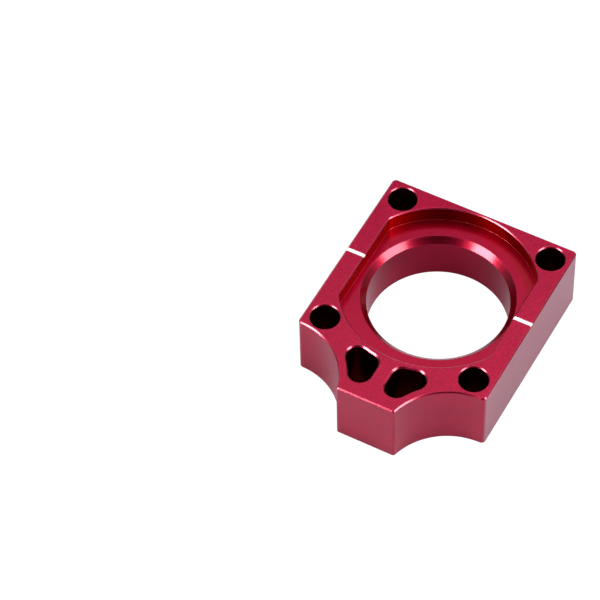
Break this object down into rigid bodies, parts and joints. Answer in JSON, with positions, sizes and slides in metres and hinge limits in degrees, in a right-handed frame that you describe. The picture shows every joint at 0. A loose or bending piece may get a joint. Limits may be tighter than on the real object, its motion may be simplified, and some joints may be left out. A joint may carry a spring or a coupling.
{
  "type": "chain adjuster axle block",
  "caption": "Machined axle block of a chain adjuster with a recessed axle seat, corner lightening holes, nose windows and engraved index marks.",
  "frame": {"origin": "axle bore axis, halfway through the block's thickness", "axes": "+Z along the bore, out of the recessed face; +X towards the nose that meets the adjuster bolt; +Y to one side face"},
  "size_m": [0.0451, 0.036, 0.013],
  "materials": {
    "anodised": "satin red anodised"
  },
  "bodies": {
    "root": {"axle_block": "anodised"}
  },
  "joints": []
}
